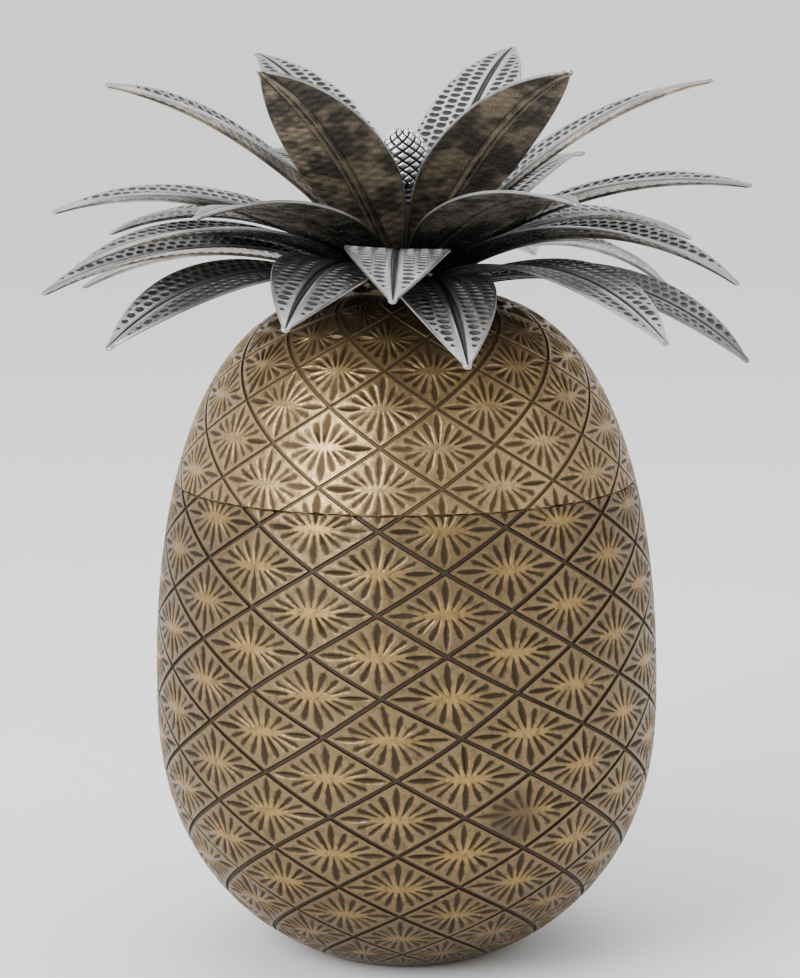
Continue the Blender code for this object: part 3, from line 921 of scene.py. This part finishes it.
def model_finial(settings):
    cells = net_cells(FINIAL_LOZENGES, 0, FINIAL_ROWS)
    places = edge_places(FINIAL_BORDER_SHARES)
    spokes = len(places)
    flat = np.concatenate([np.zeros((1, 2))] + [places * share for share, _, _ in FINIAL_RINGS])
    depth = np.concatenate([[FINIAL_CENTRE_DEPTH]]
                           + [np.full(spokes, sunk) for _, sunk, _ in FINIAL_RINGS])
    crisp = np.concatenate([[0.0]] + [np.full(spokes, mark) for _, _, mark in FINIAL_RINGS])
    column = cells[:, None, 0] + flat[:, 0]
    row = cells[:, None, 1] + flat[:, 1]
    top_row = FINIAL_ROWS * (FINIAL_NET_TOP_Z - FINIAL_WAIST_Z) / FINIAL_NET_HEIGHT
    sunk = depth * smoothstep(NET_FADE_FROM, FINIAL_PLAIN_ROWS, np.abs(row - top_row))
    faces = net_faces(len(cells), len(FINIAL_RINGS), spokes)
    piece = new_piece("pineapple_finial", finial_point(column, row, sunk).reshape(-1, 3), faces, {
        "carve": np.tile(np.clip(depth / FINIAL_CUT_DEPTH, 0.0, 1.0), len(cells)),
        "crisp": np.tile(crisp, len(cells)),
    })
    weld(piece)
    cut_level(piece, FINIAL_NET_LOW_Z, False)
    cut_level(piece, FINIAL_NET_TOP_Z, True)
    neck = turn_profile("finial_neck", neck_profile(), True)
    # The neck gets a carve value that darkens it: patina, and painted shade between the finial and
    # the leaves
    shade = neck.data.attributes.new("carve", "FLOAT", "POINT")
    shade.data.foreach_set("value", np.full(len(neck.data.vertices), NECK_DARKNESS, np.float32))
    cap_base = (float(finial_radius(FINIAL_NET_TOP_Z + FINIAL_CAP_INSET)), FINIAL_CAP_Z)
    cap = turn_profile("finial_cap", [cap_base, FINIAL_CAP_TOP], True)
    join(piece, neck, cap)
    bridge_rims(piece, FINIAL_WAIST_Z, FINIAL_NET_LOW_Z)
    bridge_rims(piece, FINIAL_NET_TOP_Z, FINIAL_CAP_Z)
    return piece


# Materials
class Nodes:
    """Short calls that add and link shader nodes."""

    def __init__(self, name):
        self.material = bpy.data.materials.new(name)
        self.material.use_nodes = True
        self.tree = self.material.node_tree
        self.shader = self.tree.nodes["Principled BSDF"]

    def add(self, kind, settings=None, **inputs):
        node = self.tree.nodes.new(kind)
        for key, value in (settings or {}).items():
            setattr(node, key, value)
        for key, value in inputs.items():
            self.feed(node.inputs[key.replace("_", " ")], value)
        return node

    def feed(self, socket, value):
        if isinstance(value, bpy.types.NodeSocket):
            self.tree.links.new(value, socket)
        else:
            socket.default_value = value

    def attribute(self, name):
        return self.add("ShaderNodeAttribute", {"attribute_name": name}).outputs["Fac"]

    def place(self):
        return self.add("ShaderNodeTexCoord").outputs["Object"]

    def height(self):
        return self.add("ShaderNodeSeparateXYZ", Vector=self.place()).outputs["Z"]

    def distance(self, point):
        """How far a place is from a point on the piece."""
        node = self.add("ShaderNodeVectorMath", {"operation": "DISTANCE"})
        self.feed(node.inputs[0], self.place())
        self.feed(node.inputs[1], point)
        return node.outputs["Value"]

    def noise(self, scale, detail=3.0, roughness=0.55):
        node = self.add("ShaderNodeTexNoise", Vector=self.place(), Scale=scale,
                        Detail=detail, Roughness=roughness)
        return node.outputs["Fac"]

    def ramp(self, value, low, high, bottom=0.0, top=1.0):
        node = self.add("ShaderNodeMapRange", {"interpolation_type": "SMOOTHSTEP"})
        for key, number in (("Value", value), ("From Min", low), ("From Max", high),
                            ("To Min", bottom), ("To Max", top)):
            self.feed(node.inputs[key], number)
        return node.outputs["Result"]

    def math(self, operation, first, second):
        node = self.add("ShaderNodeMath", {"operation": operation})
        self.feed(node.inputs[0], first)
        self.feed(node.inputs[1], second)
        return node.outputs["Value"]

    def mix(self, share, first, second):
        node = self.add("ShaderNodeMix", {"data_type": "RGBA"})
        self.feed(node.inputs[0], share)
        for socket, color in ((node.inputs[6], first), (node.inputs[7], second)):
            is_link = isinstance(color, bpy.types.NodeSocket)
            self.feed(socket, color if is_link else (*color, 1.0))
        return node.outputs[2]

    def bump(self, height, strength, distance):
        node = self.add("ShaderNodeBump", Height=height, Strength=strength, Distance=distance)
        self.feed(self.shader.inputs["Normal"], node.outputs["Normal"])

    def finish(self, color, roughness, metallic):
        self.feed(self.shader.inputs["Base Color"], color)
        self.feed(self.shader.inputs["Roughness"], roughness)
        self.feed(self.shader.inputs["Metallic"], metallic)
        return self.material


def antique_gold(name, colors):
    """Gold wash over cast metal: dark in the cuts, rubbed bright on the raised parts, with painted
    shade low down and under the leaves.
    """
    made = Nodes(name)
    carve = made.attribute("carve")
    groove = made.attribute("groove")
    cloud = made.noise(28.0, 4.0, 0.6)
    fine = made.noise(420.0, 3.0, 0.6)
    grit = made.noise(1500.0, 2.0, 0.6)
    hub = made.math("ADD", made.attribute("hub"), made.math("MULTIPLY", cloud, 0.5))
    raised = made.mix(made.ramp(hub, 0.60, 1.15), colors.gold, colors.worn)
    raised = made.mix(made.ramp(fine, 0.42, 0.70, 0.0, 0.60), raised, colors.brown)
    spread = made.math("MULTIPLY", made.math("SUBTRACT", fine, 0.5), 0.5)
    dirt = made.math("ADD", carve, spread)
    cut = made.mix(made.ramp(dirt, 0.0, 0.50), raised, colors.tarnish)
    channel = made.ramp(made.math("ADD", groove, made.math("MULTIPLY", fine, 0.25)), 0.25, 0.85)
    body = made.mix(channel, cut, colors.groove)
    height = made.math("ADD", made.height(), made.math("MULTIPLY", cloud, 0.03))
    # Painted shade in the groove colour, darker towards the bottom
    body = made.mix(made.ramp(height, *LOW_PAINTED_SHADE_Z, 0.4, 0.0), body, colors.groove)
    # Painted shade in the groove colour on the lid's top and stem under the leaves
    body = made.mix(made.ramp(height, *TOP_PAINTED_SHADE_Z), body, colors.groove)
    stain = made.math("ADD", made.distance(STAIN_PLACE), made.math("MULTIPLY", fine, 0.008))
    body = made.mix(made.ramp(stain, *STAIN_REACH, colors.stain_share, 0.0), body, colors.groove)
    made.bump(made.math("ADD", fine, made.math("MULTIPLY", grit, 0.5)), 0.45, 0.00030)
    worn_away = made.math("ADD", carve, fine)
    rough = made.ramp(worn_away, 0.4, 1.5, colors.roughness, colors.roughness + 0.25)
    return made.finish(body, rough, 0.85)


def hammered_silver(name, colors):
    """Tops of the leaves: bright webs and rims, dark dimples, and painted shade towards the root."""
    made = Nodes(name)
    dimple = made.attribute("dimple")
    soot = made.attribute("soot")
    fine = made.noise(700.0, 3.0, 0.6)
    cloud = made.noise(45.0, 3.0, 0.55)
    bright = made.mix(made.ramp(cloud, 0.3, 0.7), colors.silver, colors.grey)
    dark = made.math("ADD", dimple, made.math("MULTIPLY", made.math("SUBTRACT", fine, 0.5), 0.5))
    body = made.mix(made.ramp(dark, 0.05, 0.7), bright, colors.dimple)
    # Painted shade towards the root, where the leaves above shade it
    soot = made.math("ADD", soot, made.math("MULTIPLY", made.math("SUBTRACT", cloud, 0.5), 0.6))
    body = made.mix(made.ramp(soot, 0.0, 0.75, 0.0, 0.9), body, colors.root)
    made.bump(fine, 0.3, 0.0002)
    return made.finish(body, made.ramp(fine, 0.3, 0.7, 0.30, 0.45), 0.95)


def dark_underside(name, colors):
    """Undersides of the leaves: dark patches, warmer on the inner leaves, with a painted highlight on
    the ridge's crests, painted shade beside them and painted shade near the root.
    """
    made = Nodes(name)
    cloud = made.noise(65.0, 1.5, 0.5)
    fine = made.noise(420.0, 3.0, 0.6)
    cell = made.add("ShaderNodeTexVoronoi", {"feature": "SMOOTH_F1"}, Vector=made.place(),
                    Scale=170.0, Smoothness=0.7).outputs["Distance"]
    light = made.mix(made.attribute("warmth"), colors.underside_grey, colors.underside_warm)
    patch = made.math("ADD", made.math("MULTIPLY", cell, 0.5), made.math("MULTIPLY", cloud, 1.2))
    body = made.mix(made.ramp(patch, 0.68, 1.05), colors.underside, light)
    # Painted highlight along the ridge's crests, painted shade in its valley and at its feet
    rib = made.attribute("dimple")
    body = made.mix(made.ramp(rib, -1.0, -0.2, 0.8, 0.0), body, light)
    body = made.mix(made.ramp(rib, 0.2, 1.0, 0.0, 0.9), body, colors.root)
    # Painted shade towards the root
    body = made.mix(made.ramp(made.attribute("soot"), 0.35, 1.05), body, colors.root)
    made.bump(made.math("ADD", cell, made.math("MULTIPLY", fine, 0.04)), 0.14, 0.0012)
    return made.finish(body, made.ramp(fine, 0.3, 0.7, 0.22, 0.34), 0.75)


def cut_silver(name, colors):
    made = Nodes(name)
    carve = made.attribute("carve")
    fine = made.noise(900.0, 2.0, 0.6)
    body = made.mix(made.ramp(carve, 0.15, 0.7), colors.silver, colors.dimple)
    made.bump(fine, 0.2, 0.0002)
    return made.finish(body, 0.3, 1.0)


def plain_floor(name, color):
    made = Nodes(name)
    tone = made.mix(made.noise(3.0), color, [value * 0.99 for value in color])
    return made.finish(tone, 0.8, 0.0)


# Settings
def color_setting(name, description, value):
    return FloatVectorProperty(name=name, description=description, subtype="COLOR",
                               size=3, min=0.0, max=1.0, default=value)


def length_setting(name, description, value):
    return FloatProperty(name=name, description=description, unit="LENGTH", precision=5,
                         min=0.0, default=value)


def share_setting(name, description, value, high=1.0):
    return FloatProperty(name=name, description=description, subtype="FACTOR",
                         min=0.0, max=high, default=value)


def power_setting(name, description, value):
    return FloatProperty(name=name, description=description, unit="POWER", min=0.0, default=value)


class BucketSettings(bpy.types.PropertyGroup):
    petal_width: length_setting("Petal width", "Width of a petal cut at its widest", 0.0042)
    petal_depth: length_setting("Petal depth", "Depth of a petal cut at its middle", 0.0008)
    groove_width: length_setting("Groove width", "Width of a groove's flat floor", 0.0012)
    groove_wall: length_setting("Groove wall", "Width of a groove's sloping side", 0.0003)
    groove_depth: length_setting("Groove depth", "Depth of a groove", 0.0009)
    gold: color_setting("Gold", "Raised parts", (0.195, 0.137, 0.069))
    worn: color_setting("Worn gold", "Rubbed raised parts", (0.32, 0.205, 0.080))
    brown: color_setting("Brown", "Stain on the raised parts", (0.10, 0.068, 0.036))
    tarnish: color_setting("Tarnish", "Floors of the petals", (0.044, 0.030, 0.017))
    # Also the colour of the painted shade towards the bottom
    groove: color_setting("Groove", "Floors of the grooves", (0.060, 0.045, 0.030))
    stain_share: share_setting("Stain", "Strength of the stain low on the front", 0.75)
    roughness: share_setting("Roughness", "Roughness of the raised parts", 0.38)


class LidSettings(bpy.types.PropertyGroup):
    petal_width: length_setting("Petal width", "Width of a petal cut at its widest", 0.0040)
    petal_depth: length_setting("Petal depth", "Depth of a petal cut at its middle", 0.0007)
    groove_width: length_setting("Groove width", "Width of a groove's flat floor", 0.0009)
    groove_wall: length_setting("Groove wall", "Width of a groove's sloping side", 0.0003)
    groove_depth: length_setting("Groove depth", "Depth of a groove", 0.0006)
    gold: color_setting("Gold", "Raised parts", (0.34, 0.234, 0.115))
    worn: color_setting("Worn gold", "Rubbed raised parts", (0.40, 0.275, 0.132))
    brown: color_setting("Brown", "Stain on the raised parts", (0.15, 0.096, 0.046))
    tarnish: color_setting("Tarnish", "Floors of the petals", (0.078, 0.051, 0.026))
    # Also the colour of the painted shade under the leaves
    groove: color_setting("Groove", "Floors of the grooves", (0.105, 0.074, 0.041))
    stain_share: share_setting("Stain", "Strength of the stain low on the front", 0.0)
    roughness: share_setting("Roughness", "Roughness of the raised parts", 0.34)


class LeafSettings(bpy.types.PropertyGroup):
    dimple_width: length_setting("Dimple width", "Size of a dimple across the leaf", 0.0046)
    dimple_length: length_setting("Dimple length", "Size of a dimple along the leaf", 0.0035)
    dimple_depth: length_setting("Dimple depth", "Depth of a dimple at its middle", 0.0005)
    bulge_height: length_setting("Bulge height", "Height of a dimple's bulge underneath", 0.0003)
    silver: color_setting("Silver", "Polished webs and rims", (0.42, 0.42, 0.42))
    grey: color_setting("Grey", "Duller patches", (0.27, 0.27, 0.27))
    dimple: color_setting("Dimple", "Patina in the dimples and the midrib", (0.03, 0.03, 0.031))
    # Colour of the painted shade near the roots, and beside the ridges under the leaves
    root: color_setting("Root", "Patina near the root", (0.055, 0.053, 0.051))
    underside: color_setting("Underside", "Underside of the leaves", (0.15, 0.131, 0.110))
    # The lighter underside colours also paint the highlight on the ridge's crests
    underside_grey: color_setting("Grey underside", "Lighter patches under the outer leaves",
                                  (0.36, 0.35, 0.335))
    underside_warm: color_setting("Warm underside", "Lighter patches under the inner leaves",
                                  (0.56, 0.45, 0.32))


class FinialSettings(bpy.types.PropertyGroup):
    silver: color_setting("Silver", "Raised lozenges", (0.72, 0.72, 0.72))
    dimple: color_setting("Net", "Patina in the net's cuts", (0.02, 0.02, 0.022))


class StudioSettings(bpy.types.PropertyGroup):
    floor: color_setting("Floor", "Pale floor", (0.90, 0.90, 0.90))
    key_power: power_setting("Key light", "Power of the left softbox", 36.0)
    fill_power: power_setting("Fill light", "Power of the right softbox", 4.0)
    top_power: power_setting("Top light", "Power of the overhead softbox", 12.0)
    sky_left: share_setting("White on the left", "Brightness of the surroundings on the left",
                            1.60, 4.0)
    sky_right: share_setting("White on the right", "Brightness of the surroundings on the right",
                             0.45, 4.0)


# Operators
class PINEAPPLE_OT_bucket(bpy.types.Operator):
    """Models the hollow bucket with its petal-cut skin"""
    bl_idname = "pineapple.bucket"
    bl_label = "Bucket"

    def execute(self, context):
        settings = context.scene.pineapple_bucket
        piece = model_bucket(settings)
        face_outward(piece)
        shade_with_crisp_lines(piece, BODY_CREASE)
        dress(piece, "bucket", "bucket_metal", antique_gold("antique_gold_bucket", settings))
        return {"FINISHED"}


class PINEAPPLE_OT_lid(bpy.types.Operator):
    """Models the hollow lid with its petal-cut skin and stepped stem"""
    bl_idname = "pineapple.lid"
    bl_label = "Lid"

    def execute(self, context):
        settings = context.scene.pineapple_lid
        piece = model_lid(settings)
        face_outward(piece)
        shade_with_crisp_lines(piece, BODY_CREASE)
        dress(piece, "lid", "lid_metal", antique_gold("antique_gold_lid", settings))
        return {"FINISHED"}


class PINEAPPLE_OT_leaves(bpy.types.Operator):
    """Models the crown of hammered leaves"""
    bl_idname = "pineapple.leaves"
    bl_label = "Leaves"

    def execute(self, context):
        settings = context.scene.pineapple_leaves
        top = hammered_silver("hammered_silver", settings)
        under = dark_underside("dark_underside", settings)
        rng = np.random.default_rng(LEAF_SEED)
        for tier_name, leaves in LEAVES.items():
            for number, leaf in enumerate(leaves, 1):
                node = f"leaf_{tier_name}_{number}"
                piece = model_leaf("hammered_" + node, TIERS[tier_name], leaf, settings, rng)
                shade_with_crisp_lines(piece, FINE_CREASE)
                dress(piece, node, "leaf_metal", top, under)
        return {"FINISHED"}


class PINEAPPLE_OT_finial(bpy.types.Operator):
    """Models the small net-cut pineapple on its ringed neck"""
    bl_idname = "pineapple.finial"
    bl_label = "Finial"

    def execute(self, context):
        settings = context.scene.pineapple_finial
        piece = model_finial(settings)
        face_outward(piece)
        shade_with_crisp_lines(piece, FINE_CREASE)
        dress(piece, "finial", "finial_metal", cut_silver("cut_silver", settings))
        return {"FINISHED"}


def add_softbox(name, power, size, place):
    bpy.ops.object.light_add(type="AREA", location=place)
    lamp = bpy.context.object
    lamp.name = name
    lamp.data.shape = "RECTANGLE"
    lamp.data.size, lamp.data.size_y = size
    lamp.data.energy = power
    lamp.rotation_euler = (Vector(SOFTBOX_AIM) - Vector(place)).to_track_quat("-Z", "Y").to_euler()


def add_camera():
    bpy.ops.object.camera_add()
    camera = bpy.context.object
    flat, rise = math.cos(CAMERA_ELEVATION), math.sin(CAMERA_ELEVATION)
    back = Vector((0.0, -flat, rise))
    place = Vector((0.0, 0.0, CAMERA_AIM_Z)) + back * CAMERA_DISTANCE
    turn = (-back).to_track_quat("-Z", "Y").to_matrix() @ Matrix.Rotation(-CAMERA_ROLL, 3, "Z")
    camera.matrix_world = Matrix.Translation(place) @ turn.to_4x4()
    camera.data.sensor_width = CAMERA_SENSOR
    camera.data.lens = CAMERA_LENS
    camera.data.shift_x = CAMERA_SHIFT_X
    bpy.context.scene.camera = camera


def white_surroundings(name, settings):
    """White all round, brightest on the left and above, dimmest low on the right."""
    world = bpy.data.worlds.new(name)
    world.use_nodes = True
    tree = world.node_tree
    place = tree.nodes.new("ShaderNodeTexCoord")
    towards = tree.nodes.new("ShaderNodeVectorMath")
    towards.operation = "DOT_PRODUCT"
    towards.inputs[1].default_value = BRIGHTEST_WAY
    share = tree.nodes.new("ShaderNodeMapRange")
    share.inputs["From Min"].default_value = -BRIGHTEST_AT
    share.inputs["From Max"].default_value = BRIGHTEST_AT
    share.inputs["To Min"].default_value = settings.sky_right
    share.inputs["To Max"].default_value = settings.sky_left
    tree.links.new(place.outputs["Generated"], towards.inputs[0])
    tree.links.new(towards.outputs["Value"], share.inputs["Value"])
    tree.links.new(share.outputs["Result"], tree.nodes["Background"].inputs["Strength"])
    tree.nodes["Background"].inputs["Color"].default_value = (1.0, 1.0, 1.0, 1.0)
    return world


class PINEAPPLE_OT_studio(bpy.types.Operator):
    """Sets the pale floor, the soft lights and the camera"""
    bl_idname = "pineapple.studio"
    bl_label = "Studio"

    def execute(self, context):
        settings = context.scene.pineapple_studio
        bpy.ops.object.select_all(action="DESELECT")
        bpy.ops.mesh.primitive_circle_add(vertices=64, radius=FLOOR_RADIUS, fill_type="NGON")
        floor = context.object
        floor.name = "studio_floor"
        floor.data.materials.append(plain_floor("pale_floor", settings.floor))
        for name, power, size, place in SOFTBOXES:
            add_softbox(name, getattr(settings, power), size, place)
        context.scene.world = white_surroundings("white_surroundings", settings)
        add_camera()
        return {"FINISHED"}


class PINEAPPLE_PT_panel(bpy.types.Panel):
    """Lists the pieces of the pineapple ice bucket"""
    bl_idname = "PINEAPPLE_PT_panel"
    bl_label = "Pineapple Ice Bucket"
    bl_space_type = "VIEW_3D"
    bl_region_type = "UI"
    bl_category = "Pineapple"

    def draw(self, context):
        for label, group in GROUPS:
            box = self.layout.box()
            box.operator("pineapple." + label)
            settings = getattr(context.scene, "pineapple_" + label)
            for name in group.__annotations__:
                box.prop(settings, name)


GROUPS = (
    ("bucket", BucketSettings),
    ("lid", LidSettings),
    ("leaves", LeafSettings),
    ("finial", FinialSettings),
    ("studio", StudioSettings),
)
CLASSES = [group for _, group in GROUPS] + [
    PINEAPPLE_OT_bucket, PINEAPPLE_OT_lid, PINEAPPLE_OT_leaves, PINEAPPLE_OT_finial,
    PINEAPPLE_OT_studio, PINEAPPLE_PT_panel,
]


def register():
    for cls in CLASSES:
        bpy.utils.register_class(cls)
    for label, group in GROUPS:
        setattr(bpy.types.Scene, "pineapple_" + label, PointerProperty(type=group))


def unregister():
    for label, _ in GROUPS:
        delattr(bpy.types.Scene, "pineapple_" + label)
    for cls in reversed(CLASSES):
        bpy.utils.unregister_class(cls)


def main():
    register()
    bpy.ops.pineapple.bucket()
    bpy.ops.pineapple.lid()
    bpy.ops.pineapple.leaves()
    bpy.ops.pineapple.finial()
    bpy.ops.pineapple.studio()


if __name__ == "__main__":
    main()
